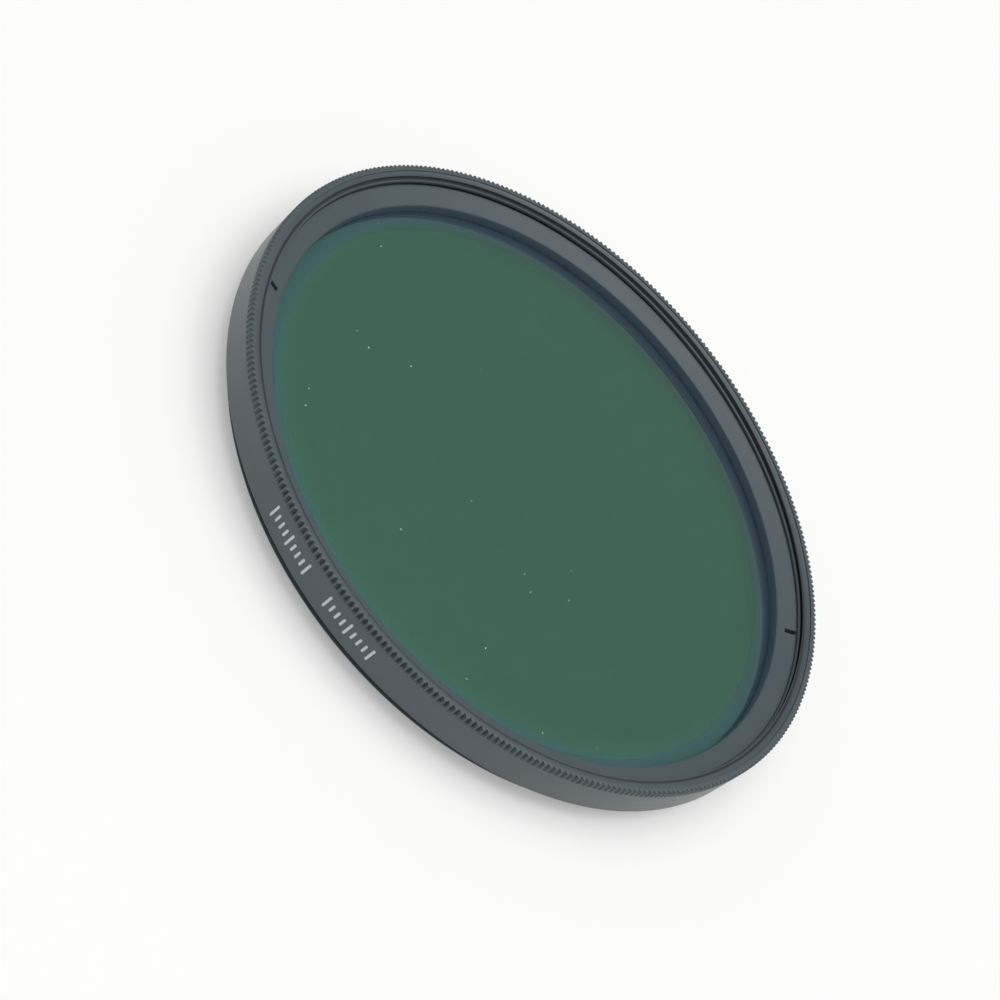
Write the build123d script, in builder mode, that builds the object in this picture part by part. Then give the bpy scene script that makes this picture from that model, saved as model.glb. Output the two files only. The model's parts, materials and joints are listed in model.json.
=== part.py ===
"""Screw-in colour filter for a camera lens: a knurled frame ring, a green glass disc and its retaining ring.

Sizes are in millimetres. +Z is the optical axis with the knurled front up, +X runs through a spanner slot,
and the origin is the centre of the rear face, on which the filter rests. Threads are drawn plain: at their
crest where they are free, and at their root where the retaining ring is screwed in.
"""

import os
from math import cos, pi, sin

from build123d import *

os.makedirs("parts", exist_ok=True)

# Lens thread that the filter is made for, the same at both ends
thread_radius = 33.50

# Rear end: male thread, relief under the band's shoulder, recess behind the glass
rear_thread_length = 2.10
rear_lead_in = 0.20
relief_width = 0.35
relief_depth = 0.40
rear_wall = 0.70
rear_recess_depth = 0.60

# Front end: female thread, and the stepped mouth that leads into it
front_root_play = 0.05
front_thread_depth = 0.45
front_flank_height = 0.26
root_land_height = 0.15
mouth_chamfer_width = 0.45
mouth_chamfer_height = 0.20
mouth_step_height = 0.15
mate_depth = 1.20

# Band and the knurl round the front rim
rim_width = 0.70
edge_break = 0.10
knurl_teeth = 351
knurl_height = 0.65
knurl_depth = 0.35

# Glass disc, its pocket and its seat
pocket_wall = 0.60
glass_clearance = 0.10
glass_thickness = 2.00
seat_width = 1.20
seat_thickness = 0.50

# Retaining ring, with a front that slopes down to the glass and two slots for a spanner
ring_width = 2.40
ring_height = 1.90
ring_slope_drop = 0.80
ring_edge_break = 0.10
ring_clearance = 0.05
clamp_gap = 0.10
slot_count = 2
slot_width = 0.55
slot_length = 1.15
slot_depth = 1.30

# Radii, worked out from the thread
relief_radius = thread_radius - relief_depth
rear_recess_radius = relief_radius - rear_wall
front_root_radius = thread_radius + front_root_play
front_crest_radius = front_root_radius - front_thread_depth
mouth_radius = front_root_radius + mouth_chamfer_width
band_radius = mouth_radius + rim_width
valley_radius = band_radius - knurl_depth
knurl_core_radius = (mouth_radius + valley_radius) / 2
pocket_radius = relief_radius - pocket_wall
glass_radius = pocket_radius - glass_clearance
seat_radius = pocket_radius - seat_width
ring_outer_radius = front_root_radius - ring_clearance
ring_inner_radius = ring_outer_radius - ring_width
ring_shoulder_radius = front_crest_radius - ring_clearance

# Heights, from the rear face up through the stack of pieces
seat_height = rear_recess_depth + seat_thickness
glass_top = seat_height + glass_thickness
ring_top = glass_top + ring_height
rim_height = ring_top + mate_depth
band_top = rim_height - knurl_height
mouth_foot = rim_height - mouth_step_height
root_land_top = mouth_foot - mouth_chamfer_height
flank_top = root_land_top - root_land_height
flank_foot = flank_top - front_flank_height
thread_foot = ring_top + ring_clearance
pocket_top = glass_top - clamp_gap


def knurl_point(step):
    """The corner of the knurl's outline at this half pitch: even steps are valleys, odd steps are tips."""
    radius = band_radius if step % 2 else valley_radius
    angle = pi * step / knurl_teeth
    return radius * cos(angle), radius * sin(angle)


# Frame ring: one turned section, then the ring of knurl teeth round its front rim
with BuildPart() as frame_ring:
    with BuildSketch(Plane.XZ):
        with BuildLine():
            Polyline(
                # Rear end and male thread
                (rear_recess_radius, 0),
                (thread_radius - rear_lead_in, 0),
                (thread_radius, rear_lead_in),
                (thread_radius, rear_thread_length - relief_width),
                (relief_radius, rear_thread_length - relief_width),
                (relief_radius, rear_thread_length),
                # Shoulder, band, and the core inside the knurl
                (band_radius - edge_break, rear_thread_length),
                (band_radius, rear_thread_length + edge_break),
                (band_radius, band_top),
                (knurl_core_radius, band_top),
                (knurl_core_radius, rim_height),
                (mouth_radius, rim_height),
                # Stepped mouth and the free part of the female thread
                (mouth_radius, mouth_foot),
                (front_root_radius, root_land_top),
                (front_root_radius, flank_top),
                (front_crest_radius, flank_foot),
                (front_crest_radius, thread_foot),
                # Thread behind the retaining ring, pocket for the glass and its seat
                (front_root_radius, thread_foot),
                (front_root_radius, pocket_top),
                (pocket_radius, pocket_top),
                (pocket_radius, seat_height),
                (seat_radius, seat_height),
                (seat_radius, rear_recess_depth),
                # Recess behind the glass
                (rear_recess_radius, rear_recess_depth),
                close=True,
            )
        make_face()
    revolve(axis=Axis.Z)
    with BuildSketch(Plane.XY.offset(band_top)):
        with BuildLine():
            Polyline(*[knurl_point(step) for step in range(2 * knurl_teeth)], close=True)
        make_face()
        Circle(knurl_core_radius, mode=Mode.SUBTRACT)
    extrude(amount=knurl_height)

frame_ring.part.label = "frame_ring"
export_step(frame_ring.part, "parts/frame_ring.step")

# Glass disc: flat on both sides
with BuildPart() as glass_disc:
    with BuildSketch(Plane.XY.offset(seat_height)):
        Circle(glass_radius)
    extrude(amount=glass_thickness)

glass_disc.part.label = "glass_disc"
export_step(glass_disc.part, "parts/glass_disc.step")

# Retaining ring: a turned section, then the slots, which open into its thread
with BuildPart() as retaining_ring:
    with BuildSketch(Plane.XZ):
        with BuildLine():
            Polyline(
                (ring_inner_radius, glass_top),
                (ring_outer_radius, glass_top),
                (ring_outer_radius, ring_top),
                (ring_shoulder_radius, ring_top),
                (ring_inner_radius + ring_edge_break, ring_top - ring_slope_drop),
                (ring_inner_radius, ring_top - ring_slope_drop - ring_edge_break),
                close=True,
            )
        make_face()
    revolve(axis=Axis.Z)
    with BuildSketch(Plane.XY.offset(ring_top)):
        with PolarLocations(front_root_radius, slot_count):
            Rectangle(
                front_root_radius - ring_shoulder_radius + slot_length,
                slot_width,
                align=(Align.MAX, Align.CENTER),
            )
    extrude(amount=-slot_depth, mode=Mode.SUBTRACT)

retaining_ring.part.label = "retaining_ring"
export_step(retaining_ring.part, "parts/retaining_ring.step")
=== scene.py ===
"""Looks of a screw-in colour filter: a knurled black ring, green glass and its slotted retaining ring.

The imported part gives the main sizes. The turns of the threads, the rounding of the edges, the paint marks on
the band and the dust are made here. Sizes are in millimetres until a mesh is written, and metres in Blender.
"""

import json
import logging
import math
import random
from dataclasses import dataclass
from enum import Enum

import bmesh
import bpy
from mathutils import Matrix, Vector


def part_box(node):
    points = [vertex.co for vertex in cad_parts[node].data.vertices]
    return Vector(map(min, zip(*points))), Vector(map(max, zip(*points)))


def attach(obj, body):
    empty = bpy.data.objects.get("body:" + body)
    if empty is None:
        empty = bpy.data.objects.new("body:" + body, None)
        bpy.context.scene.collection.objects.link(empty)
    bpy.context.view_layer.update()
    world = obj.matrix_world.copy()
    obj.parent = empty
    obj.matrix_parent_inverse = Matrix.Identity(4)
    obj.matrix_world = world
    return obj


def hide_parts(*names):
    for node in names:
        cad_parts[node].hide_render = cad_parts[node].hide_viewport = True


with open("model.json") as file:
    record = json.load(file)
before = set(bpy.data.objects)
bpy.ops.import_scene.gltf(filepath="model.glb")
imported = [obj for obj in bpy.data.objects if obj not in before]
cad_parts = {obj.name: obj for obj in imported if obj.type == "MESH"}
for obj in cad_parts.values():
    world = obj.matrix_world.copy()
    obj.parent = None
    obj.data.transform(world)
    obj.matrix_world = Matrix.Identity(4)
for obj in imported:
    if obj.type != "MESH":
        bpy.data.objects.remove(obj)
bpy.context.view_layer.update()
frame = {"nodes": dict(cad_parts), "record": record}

MM = 0.001
PITCH = 0.75
# The front thread's crest: its height below the rim at one azimuth in degrees
CREST_ANGLE = 73.9
CREST_DROP = 0.70
# Edges that turn more than this stay sharp, in radians
SHARP_ANGLE = math.radians(38)
# Corners closer than this are merged, in metres
MERGE_GAP = 1e-7
# How far the pattern of the tool marks moves in one radian round the axis, in metres
TURN_STEP = 0.00012
LOG = logging.getLogger("colour_filter")

Point = tuple[float, float]
Colour = tuple[float, float, float]
Socket = bpy.types.NodeSocket
Mesh = bpy.types.Mesh


class ThreadSide(Enum):
    """Which way a thread's ridge stands on its wall."""

    OUTWARD = 1
    INWARD = -1


class TickHeight(Enum):
    """The two heights of the paint marks on the band, in millimetres."""

    TALL = 1.55
    SHORT = 0.95


@dataclass(frozen=True)
class FilterSizes:
    """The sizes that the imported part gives, in millimetres."""

    outside_radius: float
    rim_height: float
    seat_height: float
    glass_top: float
    ring_top: float
    thread_radius: float
    crest_radius: float

    @classmethod
    def from_frame(cls, record: dict) -> "FilterSizes":
        """Reads the nodes' boxes and the thread mounts.

        Args:
            record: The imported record.

        Returns:
            The sizes.
        """
        radii = {mount["name"]: mount["dims"].get("r_mm") for mount in record["mounts"]}
        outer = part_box("frame_ring")[1] / MM
        low, high = (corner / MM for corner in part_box("glass_disc"))
        return cls(
            outside_radius=round(outer.x, 2),
            rim_height=round(outer.z, 2),
            seat_height=round(low.z, 2),
            glass_top=round(high.z, 2),
            ring_top=round(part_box("retaining_ring")[1].z / MM, 2),
            thread_radius=radii["rear_thread"],
            crest_radius=radii["front_thread"],
        )


def linked(name: str, data: bpy.types.ID) -> bpy.types.Object:
    """Makes an object and links it to the scene.

    Args:
        name: The object's name.
        data: Its mesh, lamp or camera.

    Returns:
        The object.
    """
    thing = bpy.data.objects.new(name, data)
    bpy.context.scene.collection.objects.link(thing)
    return thing


def plain_mesh(host: bpy.types.Object) -> Mesh:
    """Takes what an object's modifiers give, and deletes the object.

    Args:
        host: The object.

    Returns:
        The plain mesh.
    """
    graph = bpy.context.evaluated_depsgraph_get()
    mesh = bpy.data.meshes.new_from_object(host.evaluated_get(graph), depsgraph=graph)
    host.modifiers.clear()
    bpy.data.objects.remove(host)
    return mesh


def written(form: bmesh.types.BMesh, name: str) -> Mesh:
    """Writes a form as a mesh and frees it.

    Args:
        form: The form.
        name: The mesh's name.

    Returns:
        The mesh.
    """
    mesh = bpy.data.meshes.new(name)
    form.to_mesh(mesh)
    form.free()
    return mesh


class NodeSheet:
    """A node tree that is written node by node."""

    def __init__(self, tree: bpy.types.NodeTree) -> None:
        """Keeps the tree that the nodes go into."""
        self.tree = tree

    def put(self, kind: str, inputs: dict | None = None, **settings: object) -> bpy.types.Node:
        """Adds one node.

        Args:
            kind: The node's type name.
            inputs: For each socket, by name or number, a value or the socket that feeds it.
            **settings: The node's own options.

        Returns:
            The node.
        """
        node = self.tree.nodes.new(kind)
        for key, value in settings.items():
            setattr(node, key, value)
        for key, value in (inputs or {}).items():
            if isinstance(value, Socket):
                self.tree.links.new(value, node.inputs[key])
            else:
                node.inputs[key].default_value = value
        return node

    def calc(self, operation: str, first: object, second: object = 0.0, clamp: bool = False) -> Socket:
        """Adds one step of arithmetic and returns its result."""
        node = self.put("ShaderNodeMath", {0: first, 1: second}, operation=operation, use_clamp=clamp)
        return node.outputs[0]


class ShapeSheet(NodeSheet):
    """A geometry node tree with named inputs for its sizes."""

    def __init__(self, name: str) -> None:
        """Starts a tree that takes a mesh and gives a mesh.

        Args:
            name: The tree's name.
        """
        super().__init__(bpy.data.node_groups.new(name, "GeometryNodeTree"))
        self.identifiers: dict[str, str] = {}
        self.source = self.tree.nodes.new("NodeGroupInput")
        self.result = self.tree.nodes.new("NodeGroupOutput")
        self.tree.interface.new_socket("Geometry", in_out="OUTPUT", socket_type="NodeSocketGeometry")
        self.outline = self.size("Outline", "NodeSocketGeometry")
        self.finish = self.size("Finish", "NodeSocketMaterial")

    def size(self, name: str, kind: str = "NodeSocketFloat") -> Socket:
        """Adds a named input.

        Args:
            name: The input's name.
            kind: Its socket's type.

        Returns:
            The socket that carries it.
        """
        item = self.tree.interface.new_socket(name, in_out="INPUT", socket_type=kind)
        self.identifiers[name] = item.identifier
        return self.source.outputs[name]

    def sample(self, value: Socket, index: Socket, kind: str) -> Socket:
        """Reads a value at one corner of the outline."""
        inputs = {"Geometry": self.outline, "Value": value, "Index": index}
        return self.put("GeometryNodeSampleIndex", inputs, data_type=kind, domain="POINT").outputs["Value"]

    def close(self, mesh: Socket, sharp_angle: float) -> None:
        """Ends the tree: seams merged, edges over the angle kept sharp, real mesh, finish set.

        Args:
            mesh: The geometry to finish.
            sharp_angle: The angle in radians above which an edge stays sharp.
        """
        apart = {"Geometry": mesh, "Distance": MERGE_GAP}
        merged = self.put("GeometryNodeMergeByDistance", apart).outputs[0]
        smooth = self.put("GeometryNodeSetShadeSmooth", {0: merged, "Shade Smooth": True}).outputs[0]
        angle = self.put("GeometryNodeInputMeshEdgeAngle").outputs["Unsigned Angle"]
        limit = {0: angle, 1: sharp_angle}
        sharp = self.put("FunctionNodeCompare", limit, operation="GREATER_THAN").outputs[0]
        inputs = {0: smooth, "Selection": sharp, "Shade Smooth": False}
        edged = self.put("GeometryNodeSetShadeSmooth", inputs, domain="EDGE").outputs[0]
        real = self.put("GeometryNodeRealizeInstances", {0: edged}).outputs[0]
        dressed = self.put("GeometryNodeSetMaterial", {0: real, "Material": self.finish}).outputs[0]
        self.tree.links.new(dressed, self.result.inputs[0])

    def grow(self, outline: Mesh, values: dict[str, object]) -> Mesh:
        """Runs the tree on a mesh.

        Args:
            outline: The mesh that the tree takes.
            values: A value for each named input.

        Returns:
            The plain mesh that the tree gives.
        """
        host = linked(self.tree.name, outline)
        modifier = host.modifiers.new(self.tree.name, "NODES")
        modifier.node_group = self.tree
        for name, value in values.items():
            modifier[self.identifiers[name]] = value
        return plain_mesh(host)


class SweptSheet(ShapeSheet):
    """A tree that carries an outline round Z on a closed grid."""

    def lay_grid(self, segments: Socket) -> None:
        """Lays a grid, and finds each point's column and corner of the outline.

        Args:
            segments: How many columns follow the first one.
        """
        count = self.put("GeometryNodeAttributeDomainSize", {0: self.outline}).outputs["Point Count"]
        rows = self.calc("ADD", count, 1.0)
        across = {"Vertices X": self.calc("ADD", segments, 1.0), "Vertices Y": rows}
        self.grid = self.put("GeometryNodeMeshGrid", across).outputs["Mesh"]
        index = self.put("GeometryNodeInputIndex").outputs[0]
        self.column = self.calc("FLOOR", self.calc("DIVIDE", index, rows))
        self.corner = self.calc("MODULO", self.calc("MODULO", index, rows), count)
        place = self.sample(self.put("GeometryNodeInputPosition").outputs[0], self.corner, "FLOAT_VECTOR")
        self.section = self.put("ShaderNodeSeparateXYZ", {0: place}).outputs

    def wrap(self, radius: Socket, turn: Socket, height: Socket) -> None:
        """Puts the grid's points round Z and ends the tree.

        Args:
            radius: Each point's radius.
            turn: Its azimuth in radians.
            height: Its height.
        """
        spot = {
            "X": self.calc("MULTIPLY", radius, self.calc("COSINE", turn)),
            "Y": self.calc("MULTIPLY", radius, self.calc("SINE", turn)),
            "Z": height,
        }
        moved = {"Geometry": self.grid, "Position": self.put("ShaderNodeCombineXYZ", spot).outputs[0]}
        self.close(self.put("GeometryNodeSetPosition", moved).outputs[0], SHARP_ANGLE)


class TurnedSection(SweptSheet):
    """Turns an outline once round Z, with teeth cut where the outline's groove share is above nothing."""

    def __init__(self) -> None:
        """Writes the tree."""
        super().__init__("turned_section")
        segments = self.size("Segments", "NodeSocketInt")
        teeth = self.size("Teeth", "NodeSocketInt")
        depth = self.size("Tooth Depth")
        notch = self.size("Notch Width")
        self.lay_grid(segments)
        named = self.put("GeometryNodeInputNamedAttribute", {"Name": "groove_share"}, data_type="FLOAT")
        share = self.sample(named.outputs["Attribute"], self.corner, "FLOAT")
        half = self.calc("MULTIPLY", segments, 0.5)
        along = self.calc("MULTIPLY", self.column, teeth)
        step = self.calc("MODULO", self.calc("ADD", along, half), segments)
        off = self.calc("ABSOLUTE", self.calc("SUBTRACT", self.calc("DIVIDE", step, segments), 0.5))
        rise = self.calc("MINIMUM", self.calc("DIVIDE", self.calc("MULTIPLY", off, 2.0), notch), 1.0)
        groove = self.calc("MULTIPLY", self.calc("SUBTRACT", 1.0, rise), self.calc("MULTIPLY", share, depth))
        radius = self.calc("SUBTRACT", self.section["X"], groove)
        turn = self.calc("MULTIPLY", self.calc("DIVIDE", self.column, segments), math.tau)
        self.wrap(radius, turn, self.section["Z"])


class ThreadRidge(SweptSheet):
    """Winds an outline up a screw, faded at both heights and cut back by the cones of its lead-ins."""

    PLAIN = {
        "Segments Per Turn": 360,
        "Lead": PITCH * MM,
        "Inner Cone Radius": 0.0,
        "Inner Cone Slope": 0.0,
        "Outer Cone Radius": 40.0 * MM,
        "Outer Cone Slope": 0.0,
    }

    def __init__(self) -> None:
        """Writes the tree."""
        super().__init__("thread_ridge")
        per_turn = self.size("Segments Per Turn", "NodeSocketInt")
        turns = self.size("Turns")
        start = self.size("Start Angle")
        first = self.size("Start Height")
        lead = self.size("Lead")
        root = self.size("Root Radius")
        low = self.size("Low End")
        high = self.size("High End")
        fade = self.size("Fade Length")
        inner_cone = self.size("Inner Cone Radius")
        inner_slope = self.size("Inner Cone Slope")
        outer_cone = self.size("Outer Cone Radius")
        outer_slope = self.size("Outer Cone Slope")
        lowest = self.size("Lowest Height")
        highest = self.size("Highest Height")
        self.lay_grid(self.calc("FLOOR", self.calc("MULTIPLY", per_turn, turns)))
        wound = self.calc("DIVIDE", self.column, per_turn)
        middle = self.calc("ADD", first, self.calc("MULTIPLY", lead, wound))
        height = self.calc("ADD", middle, self.section["Z"])
        height = self.calc("MINIMUM", self.calc("MAXIMUM", height, lowest), highest)
        below = self.calc("DIVIDE", self.calc("SUBTRACT", middle, low), fade, clamp=True)
        above = self.calc("DIVIDE", self.calc("SUBTRACT", high, middle), fade, clamp=True)
        share = self.calc("MULTIPLY", below, above)
        stand = self.calc("MULTIPLY", self.calc("SUBTRACT", self.section["X"], root), share)
        radius = self.calc("ADD", root, stand)
        bore = self.calc("ADD", inner_cone, self.calc("MULTIPLY", inner_slope, height))
        skirt = self.calc("ADD", outer_cone, self.calc("MULTIPLY", outer_slope, height))
        radius = self.calc("MINIMUM", self.calc("MAXIMUM", radius, bore), skirt)
        turn = self.calc("ADD", start, self.calc("MULTIPLY", wound, math.tau))
        self.wrap(radius, turn, height)

    def wind(self, corners: list[Point], values: dict[str, object]) -> Mesh:
        """Winds a section, without lead-in cones unless the values give them."""
        return self.grow(outline_mesh(corners), {**self.PLAIN, **values})


class RoundRow(ShapeSheet):
    """Repeats a mesh round Z at an even step, as a dial's marks are."""

    def __init__(self) -> None:
        """Writes the tree."""
        super().__init__("round_row")
        count = self.size("Count", "NodeSocketInt")
        start = self.size("Start Angle")
        step = self.size("Step Angle")
        line = self.put("GeometryNodeMeshLine", {"Count": count, "Offset": (0.0, 0.0, 0.0)}).outputs[0]
        index = self.put("GeometryNodeInputIndex").outputs[0]
        turn = self.calc("ADD", start, self.calc("MULTIPLY", index, step))
        facing = self.put("ShaderNodeCombineXYZ", {"Z": turn}).outputs[0]
        inputs = {"Points": line, "Instance": self.outline, "Rotation": facing}
        row = self.put("GeometryNodeInstanceOnPoints", inputs).outputs[0]
        real = self.put("GeometryNodeRealizeInstances", {0: row}).outputs[0]
        self.close(real, SHARP_ANGLE)


class Specks(ShapeSheet):
    """Puts a flattened fleck on each point of a mesh, turned and stretched by a fixed seed."""

    def __init__(self) -> None:
        """Writes the tree."""
        super().__init__("specks")
        least = self.size("Least Size")
        most = self.size("Most Size")
        thickness = self.size("Thickness")
        seed = self.size("Seed", "NodeSocketInt")
        ball = self.put("GeometryNodeMeshIcoSphere", {"Radius": 1.0, "Subdivisions": 2}).outputs["Mesh"]
        length = self.chance(least, most, seed)
        width = self.chance(least, most, self.calc("ADD", seed, 11.0))
        stretch = {"X": length, "Y": self.calc("MULTIPLY", width, 0.45), "Z": thickness}
        turn = self.chance(0.0, math.tau, self.calc("ADD", seed, 23.0))
        inputs = {
            "Points": self.outline,
            "Instance": ball,
            "Rotation": self.put("ShaderNodeCombineXYZ", {"Z": turn}).outputs[0],
            "Scale": self.put("ShaderNodeCombineXYZ", stretch).outputs[0],
        }
        row = self.put("GeometryNodeInstanceOnPoints", inputs).outputs[0]
        real = self.put("GeometryNodeRealizeInstances", {0: row}).outputs[0]
        self.close(real, math.radians(60))

    def chance(self, low: object, high: object, seed: object) -> Socket:
        """Adds a random number for each copy.

        Args:
            low: The least value.
            high: The greatest value.
            seed: The seed.

        Returns:
            The number.
        """
        node = self.put("FunctionNodeRandomValue", data_type="FLOAT")
        for name, value in (("Min", low), ("Max", high), ("Seed", seed)):
            socket = next(s for s in node.inputs if s.name == name and s.enabled)
            if isinstance(value, Socket):
                self.tree.links.new(value, socket)
            else:
                socket.default_value = value
        return next(s for s in node.outputs if s.enabled)


class ShaderSheet(NodeSheet):
    """A material's node tree, with the patterns that the finishes share."""

    def __init__(self, name: str) -> None:
        """Starts a material with an output and one main shader.

        Args:
            name: The material's name.
        """
        self.material = bpy.data.materials.new(name)
        self.material.use_nodes = True
        super().__init__(self.material.node_tree)
        self.tree.nodes.clear()
        self.output = self.put("ShaderNodeOutputMaterial")
        self.main = self.put("ShaderNodeBsdfPrincipled")
        self.tree.links.new(self.main.outputs[0], self.output.inputs["Surface"])
        self.place = self.put("ShaderNodeTexCoord").outputs["Object"]
        self.axes = self.put("ShaderNodeSeparateXYZ", {0: self.place})

    def feed(self, value: Socket, name: str) -> None:
        """Joins a socket to an input of the main shader."""
        self.tree.links.new(value, self.main.inputs[name])

    def radius(self) -> Socket:
        """The distance from the optical axis."""
        x, y = self.axes.outputs["X"], self.axes.outputs["Y"]
        return self.calc("SQRT", self.calc("ADD", self.calc("MULTIPLY", x, x), self.calc("MULTIPLY", y, y)))

    def noise(self, place: Socket, spacing: float, detail: float = 2.0) -> Socket:
        """Adds a soft noise.

        Args:
            place: The coordinates that it reads, in metres.
            spacing: The size of its lumps in millimetres.
            detail: How many finer layers it has.

        Returns:
            Its value, from 0 to 1.
        """
        inputs = {"Vector": place, "Scale": 1.0 / (spacing * MM), "Detail": detail, "Roughness": 0.55}
        return self.put("ShaderNodeTexNoise", inputs).outputs["Fac"]

    def turned_place(self) -> Socket:
        """Adds coordinates in which a turned surface's tool marks run all round.

        Returns:
            The coordinates.
        """
        x, y = self.axes.outputs["X"], self.axes.outputs["Y"]
        spot = {"X": self.radius(), "Y": self.axes.outputs["Z"], "Z": self.calc("ARCTAN2", y, x)}
        squeezed = {0: self.put("ShaderNodeCombineXYZ", spot).outputs[0], 1: (1.0, 1.0, TURN_STEP)}
        return self.put("ShaderNodeVectorMath", squeezed, operation="MULTIPLY").outputs[0]

    def blend(self, share: object, first: object, second: object) -> Socket:
        """Mixes two colours.

        Args:
            share: How much of the second, from 0 to 1.
            first: The first colour.
            second: The second colour.

        Returns:
            The mixed colour.
        """
        node = self.put("ShaderNodeMix", data_type="RGBA", clamp_factor=True)
        for name, value in (("Factor", share), ("A", first), ("B", second)):
            socket = next(s for s in node.inputs if s.name == name and s.enabled)
            if isinstance(value, Socket):
                self.tree.links.new(value, socket)
            elif name == "Factor":
                socket.default_value = value
            else:
                socket.default_value = (*value, 1.0)
        return next(s for s in node.outputs if s.enabled)

    def spread(self, value: Socket, low: float, high: float) -> Socket:
        """Maps a noise's middle range onto two values."""
        inputs = {"Value": value, "From Min": 0.3, "From Max": 0.7, "To Min": low, "To Max": high}
        return self.put("ShaderNodeMapRange", inputs, clamp=True).outputs[0]

    def bump(self, height: Socket, depth: float, under: object = None) -> Socket:
        """Adds a bump.

        Args:
            height: The pattern that it follows.
            depth: Its depth in millimetres.
            under: The bump that it lies on, if any.

        Returns:
            The normal.
        """
        inputs = {"Height": height, "Distance": depth * MM, "Strength": 1.0}
        if under is not None:
            inputs["Normal"] = under
        return self.put("ShaderNodeBump", inputs).outputs[0]


@dataclass(frozen=True)
class Anodise:
    """A dyed anodised finish on turned aluminium, with tool marks all round, a fine grain and an optional zone
    of painted light and shade.
    """

    name: str
    shade: Colour
    pale_shade: Colour
    roughness: Point
    turning_spacing: float
    turning_depth: float
    grain_spacing: float
    grain_depth: float
    # Painted light and shade: an optional zone of radius and height in millimetres gets a flat colour, blended
    # in over a soft edge of the given width in millimetres; the default colour is a dark painted shade
    painted_light_zone: tuple[Point, Point] | None = None
    painted_light_colour: Colour = (0.012, 0.018, 0.026)
    painted_light_edge: float = 0.03

    def paint_light_zone(self, sheet: ShaderSheet, colour: Socket) -> Socket:
        """Paints a flat colour of light and shade into the zone of radius and height, in millimetres.

        Args:
            sheet: The material's nodes.
            colour: The colour outside the zone.

        Returns:
            The colour with the zone in it.
        """
        share = 1.0
        for value, (low, high) in zip((sheet.radius(), sheet.axes.outputs["Z"]), self.painted_light_zone):
            for edge, sign in ((low, 1.0), (high, -1.0)):
                beyond = sheet.calc("SUBTRACT", value, edge * MM)
                inside = sheet.calc("MULTIPLY", beyond, sign / (self.painted_light_edge * MM), clamp=True)
                share = sheet.calc("MULTIPLY", inside, share)
        return sheet.blend(share, colour, self.painted_light_colour)

    def material(self) -> bpy.types.Material:
        """Writes the finish.

        Returns:
            The material.
        """
        sheet = ShaderSheet(self.name)
        turning = sheet.noise(sheet.turned_place(), self.turning_spacing, 3.0)
        grain = sheet.noise(sheet.place, self.grain_spacing, 2.0)
        cloud = sheet.noise(sheet.place, 6.0, 2.0)
        share = sheet.calc("ADD", sheet.spread(grain, 0.0, 0.5), sheet.spread(cloud, 0.0, 0.5))
        colour = sheet.blend(share, self.shade, self.pale_shade)
        # Painted light and shade: the zone's flat colour is laid over the finish
        if self.painted_light_zone:
            colour = self.paint_light_zone(sheet, colour)
        sheet.feed(colour, "Base Color")
        sheet.feed(sheet.spread(turning, *self.roughness), "Roughness")
        fine = sheet.bump(grain, self.grain_depth)
        sheet.feed(sheet.bump(turning, self.turning_depth, fine), "Normal")
        return sheet.material


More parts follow.
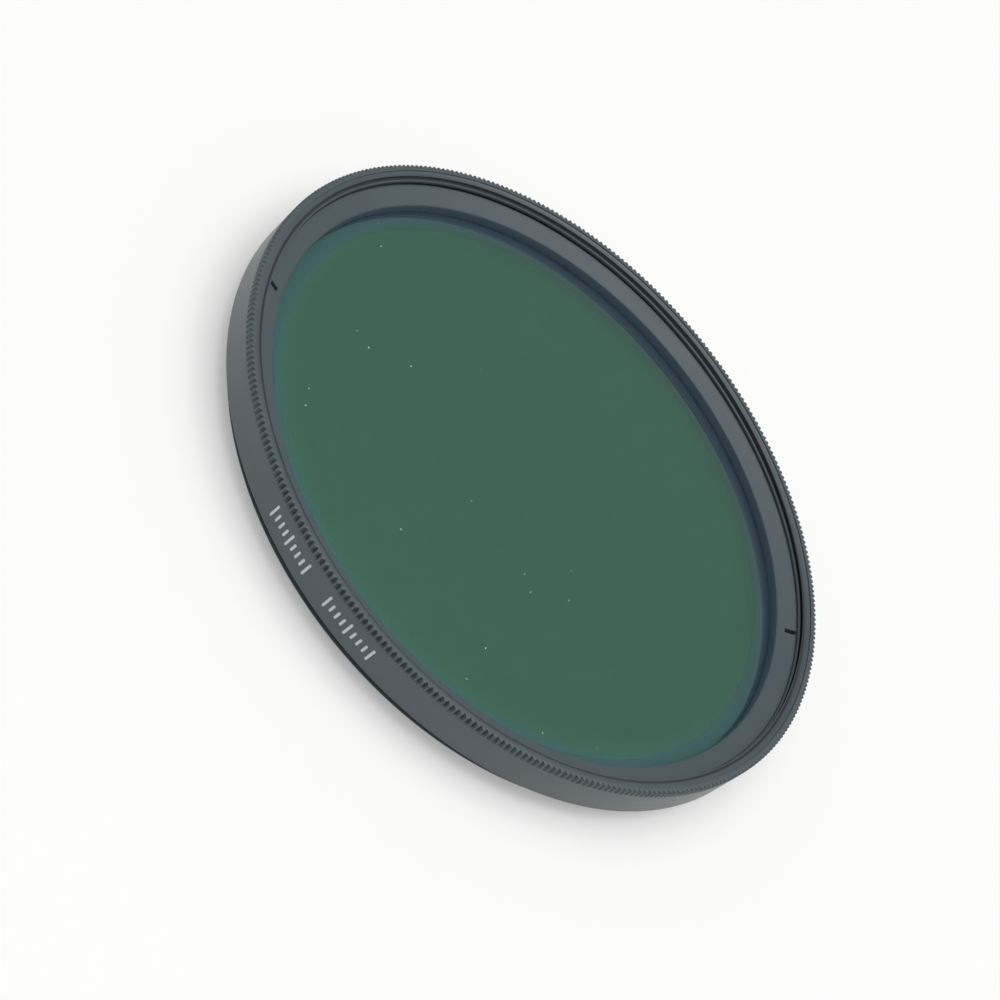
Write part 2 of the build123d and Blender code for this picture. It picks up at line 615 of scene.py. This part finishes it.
@dataclass(frozen=True)
class DyedGlass:
    """Polished glass, coloured in the mass, under a painted veil of reflection and glare that grows towards
    its rim.
    """

    name: str
    absorption: Colour
    density: float
    # Painted veil: a faint pale-blue diffuse layer over the glass, standing in for the reflection and glare
    # seen on it; two colours mixed by noise, and the share it takes from the transmission
    painted_veil: Colour
    pale_painted_veil: Colour
    painted_veil_cover: float
    # Painted light at the rim: a bluer, stronger veil from the edge start outwards, lifting the dark band over
    # the bore wall
    painted_edge_veil: Colour = (0.40, 0.64, 0.90)
    painted_edge_veil_cover: float = 0.036
    edge_start: float = 29.48
    edge_softness: float = 0.06
    # Painted reflection: the veil grows by this share from its start radius out to the edge start, for the
    # greyer sky reflection where the floor under the glass is shaded by the wall
    painted_reflection_cover: float = 0.014
    painted_reflection_start: float = 28.0
    index: float = 1.52

    def material(self) -> bpy.types.Material:
        """Writes the finish.

        Returns:
            The material.
        """
        sheet = ShaderSheet(self.name)
        veil_and_roughness_noise = sheet.noise(sheet.place, 3.0, 3.0)
        away = sheet.radius()
        outer = sheet.calc("SUBTRACT", away, self.edge_start * MM)
        edge = sheet.calc("DIVIDE", outer, self.edge_softness * MM, clamp=True)
        inner = sheet.calc("SUBTRACT", away, self.painted_reflection_start * MM)
        painted_reflection_share = sheet.calc("DIVIDE", inner, (self.edge_start - self.painted_reflection_start) * MM, clamp=True)
        # The painted veil's colour, turning to a bluer painted light beyond the edge start
        painted_veil = sheet.blend(sheet.spread(veil_and_roughness_noise, 0.0, 1.0), self.painted_veil, self.pale_painted_veil)
        sheet.feed(sheet.blend(edge, painted_veil, self.painted_edge_veil), "Base Color")
        sheet.feed(sheet.spread(veil_and_roughness_noise, 0.0, 0.004), "Roughness")
        sheet.main.inputs["IOR"].default_value = self.index
        # The painted veil's share grows towards the rim, and the glass transmits the rest
        cover = sheet.calc("ADD", self.painted_veil_cover, sheet.calc("MULTIPLY", edge, self.painted_edge_veil_cover))
        cover = sheet.calc("ADD", cover, sheet.calc("MULTIPLY", painted_reflection_share, self.painted_reflection_cover))
        sheet.feed(sheet.calc("SUBTRACT", 1.0, cover), "Transmission Weight")
        clear = sheet.put("ShaderNodeBsdfTransparent", {"Color": (0.92, 0.92, 0.92, 1.0)}).outputs[0]
        shadow = sheet.put("ShaderNodeLightPath").outputs["Is Shadow Ray"]
        mixed = sheet.put("ShaderNodeMixShader", {0: shadow, 1: sheet.main.outputs[0], 2: clear}).outputs[0]
        sheet.tree.links.new(mixed, sheet.output.inputs["Surface"])
        inside = {"Color": (*self.absorption, 1.0), "Density": self.density}
        volume = sheet.put("ShaderNodeVolumeAbsorption", inside).outputs[0]
        sheet.tree.links.new(volume, sheet.output.inputs["Volume"])
        return sheet.material


@dataclass(frozen=True)
class Paint:
    """A thin pale coat, such as printing ink, dust or the table's board."""

    name: str
    shade: Colour
    pale_shade: Colour
    roughness: float
    grain_spacing: float
    grain_depth: float

    def material(self) -> bpy.types.Material:
        """Writes the finish.

        Returns:
            The material.
        """
        sheet = ShaderSheet(self.name)
        grain = sheet.noise(sheet.place, self.grain_spacing, 3.0)
        sheet.feed(sheet.blend(sheet.spread(grain, 0.0, 1.0), self.shade, self.pale_shade), "Base Color")
        sheet.feed(sheet.spread(grain, self.roughness, self.roughness + 0.1), "Roughness")
        sheet.feed(sheet.bump(grain, self.grain_depth), "Normal")
        return sheet.material


SATIN_BLACK = Anodise(
    name="satin_black_anodise",
    shade=(0.056, 0.075, 0.086),
    pale_shade=(0.068, 0.090, 0.102),
    roughness=(0.34, 0.42),
    turning_spacing=0.055,
    turning_depth=0.0006,
    grain_spacing=0.05,
    grain_depth=0.0012,
    # Painted shade: the front thread's roots and flanks below the mouth's chamfer are darkened with the
    # default painted colour, for the shade that falls there
    painted_light_zone=((33.24, 33.62), (5.0, 5.84)),
)
RING_BLACK = Anodise(
    name="matte_black_anodise",
    shade=(0.052, 0.074, 0.088),
    pale_shade=(0.064, 0.089, 0.104),
    roughness=(0.44, 0.54),
    turning_spacing=0.07,
    turning_depth=0.0005,
    grain_spacing=0.06,
    grain_depth=0.0012,
    # Painted light: the ring's bore wall below its slope is lightened and blued, standing in for the
    # reflection and glare over that dark wall
    painted_light_zone=((30.0, 31.14), (3.0, 4.12)),
    painted_light_colour=(0.062, 0.108, 0.145),
)
GREEN_GLASS = DyedGlass(
    name="green_glass",
    absorption=(0.09, 0.575, 0.345),
    density=1400.0,
    # Painted veil: a faint pale-blue layer for the reflection and glare over the glass
    painted_veil=(0.62, 0.86, 0.98),
    pale_painted_veil=(0.68, 0.90, 1.0),
    painted_veil_cover=0.037,
)
SILVER_INK = Paint("silver_white_ink", (0.52, 0.54, 0.56), (0.62, 0.64, 0.66), 0.5, 0.04, 0.002)
PALE_DUST = Paint("pale_dust", (0.50, 0.55, 0.52), (0.70, 0.74, 0.70), 0.8, 0.02, 0.002)
WHITE_BOARD = Paint("white_board", (0.955, 0.955, 0.945), (0.962, 0.962, 0.952), 0.9, 2.0, 0.0)


def outline_mesh(points: list[Point], shares: list[float] | None = None) -> Mesh:
    """Writes the corners of an outline as a mesh of loose points.

    Args:
        points: Radius and height of each corner in millimetres, going up the outer side.
        shares: How far the teeth cut into each corner, from 0 to 1.

    Returns:
        The mesh.
    """
    mesh = bpy.data.meshes.new("outline")
    mesh.from_pydata([(r * MM, 0.0, z * MM) for r, z in points], [], [])
    attribute = mesh.attributes.new("groove_share", "FLOAT", "POINT")
    attribute.data.foreach_set("value", shares or [0.0] * len(points))
    return mesh


def add_piece(name: str, meshes: list[Mesh], finish: bpy.types.Material) -> bpy.types.Object:
    """Joins meshes into one piece.

    Args:
        name: The piece's name.
        meshes: The meshes, already in place.
        finish: The material that all of them have.

    Returns:
        The piece, linked to the scene.
    """
    form = bmesh.new()
    for mesh in meshes:
        form.from_mesh(mesh)
    joined = written(form, name)
    joined.materials.append(finish)
    for face in joined.polygons:
        face.material_index = 0
    LOG.info("%s: %d faces", name, len(joined.polygons))
    return linked(name, joined)


@dataclass
class FrameRing:
    """The one-piece ring: core, knurled rim, band and both threads."""

    sizes: FilterSizes
    teeth: int = 351
    columns_per_tooth: int = 8
    tooth_depth: float = 0.34
    notch_width: float = 0.76
    core_segments: int = 540
    front_play: float = 0.05
    thread_depth: float = 0.45
    relief_depth: float = 0.40
    shoulder_height: float = 2.10
    knurl_foot: float = 5.38
    mouth_radius: float = 34.0
    mouth_step: float = 0.15
    chamfer_height: float = 0.20
    pocket_radius: float = 32.5
    seat_radius: float = 31.3
    recess_radius: float = 32.4
    recess_depth: float = 0.60

    def rim_outline(self) -> tuple[list[Point], list[float]]:
        """Draws the outside of the band and rim.

        Returns:
            The corners, and how far the teeth cut at each.
        """
        r, top = self.sizes.outside_radius - 0.002, self.sizes.rim_height
        mouth, shoulder, foot = self.mouth_radius, self.shoulder_height, self.knurl_foot
        rows = [
            (mouth + 0.02, shoulder, 0.0),
            (r - 0.10, shoulder, 0.0),
            (r - 0.05, shoulder + 0.012, 0.0),
            (r - 0.013, shoulder + 0.05, 0.0),
            (r, shoulder + 0.10, 0.0),
            (r, foot, 0.0),
            (r, foot + 0.06, 0.0),
            (r, foot + 0.12, 0.35),
            (r, foot + 0.20, 0.8),
            (r, foot + 0.28, 1.0),
            (r, top - 0.085, 1.0),
            (r - 0.015, top - 0.035, 1.0),
            (r - 0.05, top - 0.01, 1.0),
            (r - 0.10, top, 1.0),
            (mouth + 0.17, top, 0.0),
            (mouth + 0.035, top, 0.0),
            (mouth + 0.01, top - 0.01, 0.0),
            (mouth, top - 0.035, 0.0),
            (mouth, top - 0.17, 0.0),
        ]
        return [(row[0], row[1]) for row in rows], [row[2] for row in rows]

    def core_outline(self) -> list[Point]:
        """Draws the inside of the ring at its threads' roots, from the rear recess to the mouth.

        Returns:
            The corners.
        """
        s = self.sizes
        root = s.thread_radius + self.front_play
        relief = s.thread_radius - self.relief_depth
        mouth, shoulder = self.mouth_radius, self.shoulder_height
        step = s.rim_height - self.mouth_step
        land = step - self.chamfer_height
        pocket, seat, recess = self.pocket_radius, self.seat_radius, self.recess_radius
        pocket_top, seat_top, roof = s.glass_top - 0.10, s.seat_height - 0.01, self.recess_depth
        return [
            (recess + 0.03, 0.0),
            (relief - 0.08, 0.0),
            (relief - 0.05, 0.03),
            (relief - 0.05, shoulder - 0.02),
            (relief - 0.02, shoulder + 0.01),
            (mouth + 0.05, shoulder + 0.01),
            (mouth + 0.05, step),
            (mouth, step),
            (mouth - 0.015, step - 0.005),
            (root + 0.012, land + 0.008),
            (root, land - 0.01),
            (root, pocket_top),
            (pocket, pocket_top),
            (pocket, seat_top),
            (seat + 0.03, seat_top),
            (seat, seat_top - 0.03),
            (seat, roof + 0.03),
            (seat + 0.03, roof),
            (recess, roof),
            (recess, 0.03),
        ]

    def ridge_outline(self, side: ThreadSide) -> list[Point]:
        """Draws one turn of a thread in section: wide at the crest in front, a truncated V at the rear.

        Args:
            side: Which way it stands.

        Returns:
            Its corners, going up the outer side.
        """
        if side is ThreadSide.OUTWARD:
            crest = self.sizes.thread_radius
            foot = crest - self.thread_depth - 0.06
            corners = [(foot, -0.35), (crest - 0.03, -0.085), (crest, -0.05)]
            return corners + [(r, -z) for r, z in reversed(corners)]
        crest = self.sizes.crest_radius
        foot = crest + self.thread_depth + 0.05
        upper = [(foot, 0.03), (crest + 0.11, 0.01), (crest, -0.09)]
        return upper + [(crest, -0.34), (crest + 0.04, -0.38), (foot, -0.56)]

    def front_thread(self, winder: ThreadRidge, finish: bpy.types.Material) -> Mesh:
        """Makes the female thread inside the rim, cut by the cone of the mouth.

        Args:
            winder: The tree that winds threads.
            finish: The ring's material.

        Returns:
            The thread.
        """
        start_turns = -1.53
        root = self.sizes.thread_radius + self.front_play
        slope = (self.mouth_radius - root) / self.chamfer_height
        cone = root - slope * (self.sizes.rim_height - self.mouth_step - self.chamfer_height)
        values = {
            "Finish": finish,
            "Turns": 2.5,
            "Start Angle": math.radians(CREST_ANGLE + 360.0 * start_turns),
            "Start Height": (self.sizes.rim_height - CREST_DROP + PITCH * start_turns) * MM,
            "Root Radius": (self.sizes.crest_radius + self.thread_depth + 0.05) * MM,
            "Low End": 4.3 * MM,
            "High End": 9.0 * MM,
            "Fade Length": 0.1 * MM,
            "Inner Cone Radius": (cone + 0.015) * MM,
            "Inner Cone Slope": slope,
            "Lowest Height": 4.0 * MM,
            "Highest Height": (self.sizes.rim_height - 0.10) * MM,
        }
        return winder.wind(self.ridge_outline(ThreadSide.INWARD), values)

    def rear_thread(self, winder: ThreadRidge, finish: bpy.types.Material) -> Mesh:
        """Makes the male thread at the rear, with its lead-in.

        Args:
            winder: The tree that winds threads.
            finish: The ring's material.

        Returns:
            The thread.
        """
        crest = self.sizes.thread_radius
        values = {
            "Finish": finish,
            "Turns": 2.35,
            "Start Angle": math.radians(20),
            "Start Height": 0.06 * MM,
            "Root Radius": (crest - self.thread_depth - 0.06) * MM,
            "Low End": 0.05 * MM,
            "High End": 1.75 * MM,
            "Fade Length": 0.14 * MM,
            "Outer Cone Radius": (crest - 0.20) * MM,
            "Outer Cone Slope": 1.0,
            "Lowest Height": 0.004 * MM,
            "Highest Height": 1.80 * MM,
        }
        return winder.wind(self.ridge_outline(ThreadSide.OUTWARD), values)

    def build(self, turner: TurnedSection, winder: ThreadRidge) -> bpy.types.Object:
        """Makes the ring and puts it in its node's place.

        Args:
            turner: The tree that turns outlines.
            winder: The tree that winds threads.

        Returns:
            The piece.
        """
        finish = SATIN_BLACK.material()
        points, shares = self.rim_outline()
        values = {
            "Finish": finish,
            "Segments": self.teeth * self.columns_per_tooth,
            "Teeth": self.teeth,
            "Tooth Depth": self.tooth_depth * MM,
            "Notch Width": self.notch_width,
        }
        rim = turner.grow(outline_mesh(points, shares), values)
        core = turner.grow(outline_mesh(self.core_outline()), {**values, "Segments": self.core_segments})
        threads = [self.front_thread(winder, finish), self.rear_thread(winder, finish)]
        piece = add_piece("frame_ring_turned", [rim, core, *threads], finish)
        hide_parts("frame_ring")
        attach(piece, "root")
        return piece


@dataclass
class RetainingRing:
    """The ring that holds the glass down, with two slots for a spanner and its own thread."""

    sizes: FilterSizes
    inner_radius: float = 31.10
    shoulder_radius: float = 33.085
    slope_drop: float = 0.80
    slot_width: float = 0.55
    slot_length: float = 1.15
    slot_depth: float = 1.30
    slot_overrun: float = 0.3
    cutter_height: float = 2.0
    thread_lag: float = 0.575
    segments: int = 720

    def outline(self) -> list[Point]:
        """Draws the ring's section without its thread, going up the outer side.

        Returns:
            The corners.
        """
        bore, rim, top = self.inner_radius, self.shoulder_radius, self.sizes.ring_top
        foot, lip = self.sizes.glass_top + 0.01, self.sizes.ring_top - self.slope_drop
        return [
            (bore + 0.03, foot),
            (rim, foot),
            (rim, top - 0.03),
            (rim - 0.03, top - 0.002),
            (rim - 0.08, top - 0.02),
            (bore + 0.17, lip + 0.022),
            (bore + 0.09, lip - 0.02),
            (bore + 0.03, lip - 0.065),
            (bore, lip - 0.14),
            (bore, foot + 0.03),
        ]

    def cut_slots(self, mesh: Mesh) -> Mesh:
        """Cuts the two spanner slots.

        Args:
            mesh: The turned ring.

        Returns:
            The ring with its slots.
        """
        form = bmesh.new()
        length = self.sizes.thread_radius + self.slot_overrun - self.shoulder_radius + self.slot_length
        middle = self.shoulder_radius - self.slot_length + length / 2
        for side in (-1, 1):
            height = self.sizes.ring_top - self.slot_depth + self.cutter_height / 2
            place = Matrix.Translation((side * middle * MM, 0, height * MM))
            scale = Matrix.Diagonal((length * MM, self.slot_width * MM, self.cutter_height * MM, 1.0))
            bmesh.ops.create_cube(form, size=1.0, matrix=place @ scale)
        cutter = linked("slot_cutter", written(form, "slot_cutter"))
        host = linked("slotted_ring", mesh)
        modifier = host.modifiers.new("slots", "BOOLEAN")
        modifier.operation = "DIFFERENCE"
        modifier.solver = "EXACT"
        modifier.object = cutter
        cut = plain_mesh(host)
        bpy.data.objects.remove(cutter)
        return cut

    def thread(self, winder: ThreadRidge, finish: bpy.types.Material) -> Mesh:
        """Makes the male thread, between the turns of the front thread.

        Args:
            winder: The tree that winds threads.
            finish: The ring's material.

        Returns:
            The thread.
        """
        crest = self.sizes.thread_radius
        foot = self.shoulder_radius - 0.06
        corners = [(foot, -0.15), (crest - 0.03, -0.06), (crest, -0.04)]
        corners += [(r, -z) for r, z in reversed(corners)]
        start_turns = -2.6
        lag = CREST_DROP + self.thread_lag
        values = {
            "Finish": finish,
            "Turns": 2.4,
            "Start Angle": math.radians(CREST_ANGLE + 360.0 * start_turns),
            "Start Height": (self.sizes.rim_height - lag + PITCH * start_turns) * MM,
            "Root Radius": foot * MM,
            "Low End": 3.2 * MM,
            "High End": 4.86 * MM,
            "Fade Length": 0.12 * MM,
            "Lowest Height": 3.12 * MM,
            "Highest Height": (self.sizes.ring_top - 0.01) * MM,
        }
        return winder.wind(corners, values)

    def build(self, turner: TurnedSection, winder: ThreadRidge) -> bpy.types.Object:
        """Makes the ring and puts it in its node's place.

        Args:
            turner: The tree that turns outlines.
            winder: The tree that winds threads.

        Returns:
            The piece.
        """
        finish = RING_BLACK.material()
        plain = {"Teeth": 1, "Tooth Depth": 0.0, "Notch Width": 1.0}
        values = {"Finish": finish, "Segments": self.segments, **plain}
        turned = turner.grow(outline_mesh(self.outline()), values)
        meshes = [self.cut_slots(turned), self.thread(winder, finish)]
        piece = add_piece("retaining_ring_turned", meshes, finish)
        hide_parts("retaining_ring")
        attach(piece, "root")
        return piece


@dataclass
class GlassDisc:
    """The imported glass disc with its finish, and the dust that lies on it."""

    sizes: FilterSizes
    seed: int = 5
    fine_specks: int = 70
    reach: float = 30.3
    thickness: float = 0.006

    def placed_specks(self) -> list[Point]:
        """The larger flecks on the glass, as X and Y in millimetres."""
        return [
            (-23.6, 18.7), (-22.6, 15.9), (-22.5, 3.2), (-20.9, 2.1), (-25.5, -7.3),
            (-25.3, -9.4), (-16.1, 3.3), (-8.5, 8.6), (-13.0, -16.3), (-6.5, -8.0),
            (0.7, -12.5), (5.8, -8.6), (1.7, -14.1), (6.1, -12.2), (-1.9, -23.3),
            (-3.2, -27.7), (13.4, -17.7), (5.6, -28.5), (11.7, -26.6),
        ]

    def fine_places(self) -> list[Point]:
        """Draws seeded places for the finest dust, all over the glass.

        Returns:
            The places, as X and Y in millimetres.
        """
        chance = random.Random(self.seed)
        places = []
        for _ in range(self.fine_specks):
            angle, away = chance.uniform(0, math.tau), self.reach * math.sqrt(chance.random())
            places.append((away * math.cos(angle), away * math.sin(angle)))
        return places

    def dust_mesh(self, sower: Specks, places: list[Point], sizes: Point,
                  finish: bpy.types.Material) -> Mesh:
        """Puts specks on the glass.

        Args:
            sower: The tree that makes specks.
            places: Where they lie, in millimetres.
            sizes: Their least and most half length, in millimetres.
            finish: Their material.

        Returns:
            The specks as a mesh.
        """
        points = bpy.data.meshes.new("dust_points")
        points.from_pydata([(x * MM, y * MM, self.sizes.glass_top * MM) for x, y in places], [], [])
        values = {
            "Finish": finish,
            "Least Size": sizes[0] * MM,
            "Most Size": sizes[1] * MM,
            "Thickness": self.thickness * MM,
            "Seed": self.seed,
        }
        return sower.grow(points, values)

    def build(self, sower: Specks) -> bpy.types.Object:
        """Dresses the glass and lays the dust on it.

        Args:
            sower: The tree that makes specks.

        Returns:
            The dust.
        """
        glass = frame["nodes"]["glass_disc"]
        glass.data.materials.clear()
        glass.data.materials.append(GREEN_GLASS.material())
        LOG.info("glass_disc: the packed disc, dressed")
        finish = PALE_DUST.material()
        meshes = [
            self.dust_mesh(sower, self.placed_specks(), (0.05, 0.14), finish),
            self.dust_mesh(sower, self.fine_places(), (0.012, 0.035), finish),
        ]
        dust = add_piece("glass_dust", meshes, finish)
        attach(dust, "root")
        return dust


@dataclass
class BandMarks:
    """Two rows of plain silver-white marks on the band."""

    sizes: FilterSizes
    width: float = 0.26
    thickness: float = 0.012
    middle_height: float = 3.95
    count: int = 3
    step: float = 1.2
    starts: Point = (222.6, 237.6)

    def tick(self, height: TickHeight) -> Mesh:
        """Makes one mark on the band at azimuth 0, with rounded ends.

        Args:
            height: How tall it is.

        Returns:
            The mark as a closed plate.
        """
        half, tall = self.width / 2, height.value / 2
        corners = []
        for turn in range(0, 360, 30):
            angle = math.radians(turn + 15)
            side, up = math.cos(angle), math.sin(angle)
            corners.append((half * side, math.copysign(tall - half, up) + half * up))
        form = bmesh.new()
        rings = []
        for away in (-0.05, self.thickness):
            radius = self.sizes.outside_radius + away
            rings.append([
                form.verts.new((
                    radius * math.cos(across / radius) * MM,
                    radius * math.sin(across / radius) * MM,
                    (self.middle_height + up) * MM,
                ))
                for across, up in corners
            ])
        form.faces.new(rings[1])
        form.faces.new(list(reversed(rings[0])))
        for index in range(len(corners)):
            following = (index + 1) % len(corners)
            form.faces.new((rings[0][index], rings[0][following], rings[1][following], rings[1][index]))
        bmesh.ops.recalc_face_normals(form, faces=form.faces)
        return written(form, "tick")

    def build(self, repeater: RoundRow) -> bpy.types.Object:
        """Makes both groups: a tall mark at every fourth step, short ones between.

        Args:
            repeater: The tree that repeats the marks.

        Returns:
            The piece.
        """
        finish = SILVER_INK.material()
        rows = ((TickHeight.TALL, 0, 4), (TickHeight.SHORT, 1, 1), (TickHeight.SHORT, 5, 1))
        meshes = []
        for start in self.starts:
            for height, first, steps in rows:
                values = {
                    "Finish": finish,
                    "Count": self.count,
                    "Start Angle": math.radians(start + first * self.step),
                    "Step Angle": math.radians(steps * self.step),
                }
                meshes.append(repeater.grow(self.tick(height), values))
        piece = add_piece("band_marks", meshes, finish)
        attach(piece, "root")
        return piece


@dataclass
class Studio:
    """The board, the light and the camera."""

    board_radius: float = 1500.0
    board_gap: float = 0.01
    board_lift: float = 0.30
    # The surround's strength by the sine of its elevation
    surround: tuple[Point, ...] = (
        (0.0, 0.62), (0.45, 0.40), (0.66, 0.32), (0.80, 1.0), (0.90, 1.9), (1.0, 2.1),
    )
    lamp_strength: float = 0.35
    lamp_azimuth: float = 20.0
    lamp_elevation: float = 62.0
    lamp_angle: float = 40.0
    camera_place: tuple[float, float, float] = (-76.295, -143.805, 128.195)
    # Azimuth, tilt and roll, in degrees
    camera_turns: tuple[float, float, float] = (-27.8, 51.293, 51.555)
    lens: float = 75.68

    def add_board(self) -> None:
        """Lays the plain pale board that the filter lies on."""
        form = bmesh.new()
        place = Matrix.Translation((0, 0, -self.board_gap * MM))
        radius = self.board_radius * MM
        bmesh.ops.create_circle(form, cap_ends=True, radius=radius, segments=128, matrix=place)
        mesh = written(form, "board")
        mesh.materials.append(self.board_finish())
        linked("board", mesh)

    def board_finish(self) -> bpy.types.Material:
        """Makes the board's pale coat, lifted to white where the camera, metal or glass sees it.

        Returns:
            The material.
        """
        finish = WHITE_BOARD.material()
        sheet = NodeSheet(finish.node_tree)
        output = finish.node_tree.nodes["Material Output"]
        coat = output.inputs["Surface"].links[0].from_socket
        ray = sheet.put("ShaderNodeLightPath").outputs
        seen = sheet.calc("MAXIMUM", ray["Is Camera Ray"], ray["Is Glossy Ray"])
        seen = sheet.calc("MAXIMUM", seen, ray["Is Transmission Ray"])
        white = sheet.put("ShaderNodeEmission", {"Color": (1.0, 1.0, 0.99, 1.0), "Strength": 1.0}).outputs[0]
        share = sheet.calc("MULTIPLY", seen, self.board_lift)
        mixed = sheet.put("ShaderNodeMixShader", {0: share, 1: coat, 2: white}).outputs[0]
        finish.node_tree.links.new(mixed, output.inputs["Surface"])
        return finish

    def add_light(self) -> None:
        """Adds a pale surround that is brightest overhead, and one wide soft lamp."""
        world = bpy.data.worlds.new("surround")
        world.use_nodes = True
        sheet = NodeSheet(world.node_tree)
        toward = sheet.put("ShaderNodeTexCoord").outputs["Generated"]
        rise = sheet.put("ShaderNodeSeparateXYZ", {0: toward}).outputs["Z"]
        ramp = sheet.put("ShaderNodeFloatCurve", {"Value": rise})
        curve = ramp.mapping.curves[0]
        top = max(strength for _, strength in self.surround)
        for index, (height, strength) in enumerate(self.surround):
            spot = (height, strength / top)
            if index in (0, len(self.surround) - 1):
                curve.points[0 if index == 0 else -1].location = spot
            else:
                curve.points.new(*spot)
        ramp.mapping.update()
        level = sheet.calc("MULTIPLY", ramp.outputs[0], top)
        background = world.node_tree.nodes["Background"]
        background.inputs["Color"].default_value = (1.0, 1.0, 1.0, 1.0)
        world.node_tree.links.new(level, background.inputs["Strength"])
        bpy.context.scene.world = world
        lamp = bpy.data.lights.new("window", "SUN")
        lamp.energy = self.lamp_strength
        lamp.angle = math.radians(self.lamp_angle)
        holder = linked("window", lamp)
        turn, rise = math.radians(self.lamp_azimuth), math.radians(self.lamp_elevation)
        toward = Vector((math.cos(turn) * math.cos(rise), math.sin(turn) * math.cos(rise), math.sin(rise)))
        holder.rotation_euler = toward.to_track_quat("Z", "Y").to_euler()

    def add_camera(self) -> None:
        """Puts the camera at the photograph's viewing angle."""
        lens = bpy.data.cameras.new("camera")
        lens.lens = self.lens
        lens.sensor_width = 36.0
        lens.clip_start = 0.005
        camera = linked("camera", lens)
        around, tilt, roll = (math.radians(angle) for angle in self.camera_turns)
        facing = Matrix.Rotation(around, 4, "Z") @ Matrix.Rotation(tilt, 4, "X")
        turned = facing @ Matrix.Rotation(roll, 4, "Z")
        camera.matrix_world = Matrix.Translation(Vector(self.camera_place) * MM) @ turned
        bpy.context.scene.camera = camera

    def build(self) -> None:
        """Sets the stage."""
        self.add_board()
        self.add_light()
        self.add_camera()
        bpy.context.scene.view_settings.view_transform = "Standard"


def main() -> None:
    """Builds the filter from its sub-assemblies, then the stage."""
    logging.basicConfig(level=logging.INFO, format="%(name)s %(message)s")
    sizes = FilterSizes.from_frame(frame["record"])
    LOG.info("sizes: %s", sizes)
    turner, winder = TurnedSection(), ThreadRidge()
    FrameRing(sizes).build(turner, winder)
    RetainingRing(sizes).build(turner, winder)
    GlassDisc(sizes).build(Specks())
    BandMarks(sizes).build(RoundRow())
    Studio().build()


if __name__ == "__main__":
    main()
